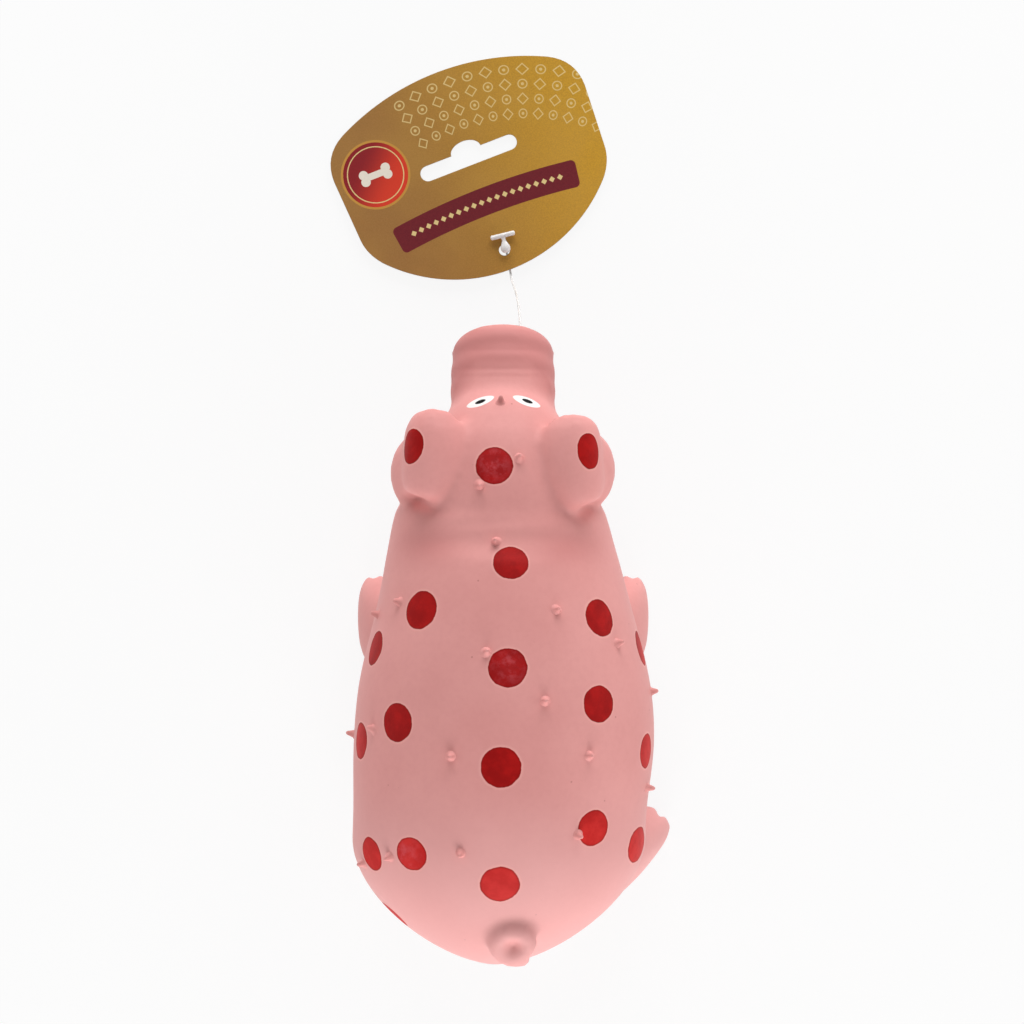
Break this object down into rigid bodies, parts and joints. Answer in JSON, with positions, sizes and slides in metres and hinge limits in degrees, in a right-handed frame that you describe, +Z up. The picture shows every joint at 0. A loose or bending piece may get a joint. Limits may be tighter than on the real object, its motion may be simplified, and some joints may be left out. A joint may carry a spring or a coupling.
{
  "type": "squeaky dog toy",
  "caption": "Plump latex pig with painted spots and short bristles that squeaks when its back is pressed, with a printed card hang tag on a nylon fastener.",
  "frame": {"origin": "on the floor under the middle of the pig's bounding box, the hang tag and its fastener left out", "axes": "+Z up, +Y from the rump to the snout, +X to the right of someone looking down with the snout ahead"},
  "size_m": [0.1052, 0.2757, 0.0895],
  "materials": {
    "latex": "satin",
    "fibre": "matte",
    "squeaker": "satin",
    "reed": "satin",
    "nylon": "gloss",
    "card": "satin"
  },
  "bodies": {
    "body": {"torso_belly": "latex", "head": "latex", "snout": "latex", "ear_left": "latex", "ear_right": "latex", "front_leg_left": "latex", "front_leg_right": "latex", "hind_leg_left": "latex", "hind_leg_right": "latex", "filling_torso": "fibre", "filling_head": "fibre", "squeaker_housing": "squeaker", "reed_block": "squeaker", "reed_clamp": "squeaker", "squeaker_cap": "squeaker", "fastener_anchor": "nylon"},
    "back": {"torso_back": "latex", "tail": "latex"},
    "reed": {"reed_tongue": "reed"},
    "fastener": {"fastener_filament": "nylon", "fastener_bar": "nylon"},
    "tag": {"hang_tag": "card"}
  },
  "joints": [
    {"name": "squeeze", "type": "slide", "parent": "body", "child": "back", "axis": [0, 0, -1], "range_m": [0, 0.015], "stiffness_N_per_m": 600, "springref_m": -0.003, "deforming": ["torso_back", "filling_torso"]},
    {"name": "reed_beat", "type": "hinge", "parent": "body", "child": "reed", "pos_m": [-0.0024, -0.0252, 0.0143], "axis": [1, 0, 0], "range_deg": [-5, 3]},
    {"name": "tag_swing", "type": "hinge", "parent": "body", "child": "fastener", "pos_m": [0.0028, 0.09195, 0.03555], "axis": [1, 0, 0], "range_deg": [-35, 70]},
    {"name": "tag_turn", "type": "hinge", "parent": "fastener", "child": "tag", "pos_m": [-0.0019, 0.12017, 0.0014], "axis": [0, 0.0228, 0.9997], "range_deg": [-25, 25]}
  ],
  "couplings": [
    {"joint": "reed_beat", "follows": "squeeze", "rad_per_m": -5.6}
  ]
}
